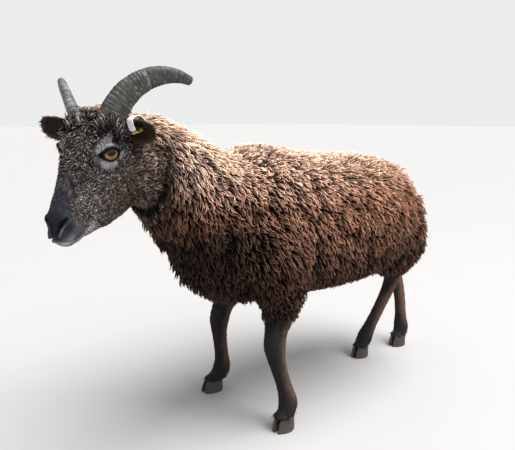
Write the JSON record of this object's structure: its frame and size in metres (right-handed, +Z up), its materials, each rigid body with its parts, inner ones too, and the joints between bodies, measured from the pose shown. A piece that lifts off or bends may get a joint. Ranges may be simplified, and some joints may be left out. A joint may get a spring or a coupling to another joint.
{
  "type": "soay sheep",
  "caption": "Life-size standing Soay sheep with a curly brown fleece, dark face, ridged curved horns and a white and yellow ear tag.",
  "frame": {"origin": "on the floor, under the middle of the whole sheep's bounding box", "axes": "+Z up, the sheep faces -Y with its left side towards +X"},
  "size_m": [0.3466, 1.006, 0.672],
  "materials": {
    "fleece": "brown curly wool",
    "face_hair": "short grizzled black hair",
    "leg_hair": "short dark brown hair",
    "horn": "ridged grey horn",
    "claw": "worn hoof horn",
    "eye": "wet amber eye",
    "tag_white": "blank white tag",
    "tag_yellow": "blank yellow tag"
  },
  "bodies": {
    "root": {"claw_front_left_1": "claw", "claw_front_left_2": "claw", "claw_front_right_1": "claw", "claw_front_right_2": "claw", "claw_hind_left_1": "claw", "claw_hind_left_2": "claw", "claw_hind_right_1": "claw", "claw_hind_right_2": "claw", "ear_left": "face_hair", "ear_right": "face_hair", "ear_tag_white": "tag_white", "ear_tag_yellow": "tag_yellow", "eye_left": "eye", "eye_right": "eye", "foreleg_left": "leg_hair", "foreleg_right": "leg_hair", "head": "face_hair", "hindleg_left": "leg_hair", "hindleg_right": "leg_hair", "horn_left": "horn", "horn_right": "horn", "neck": "fleece", "tail": "fleece", "torso": "fleece"}
  },
  "joints": []
}
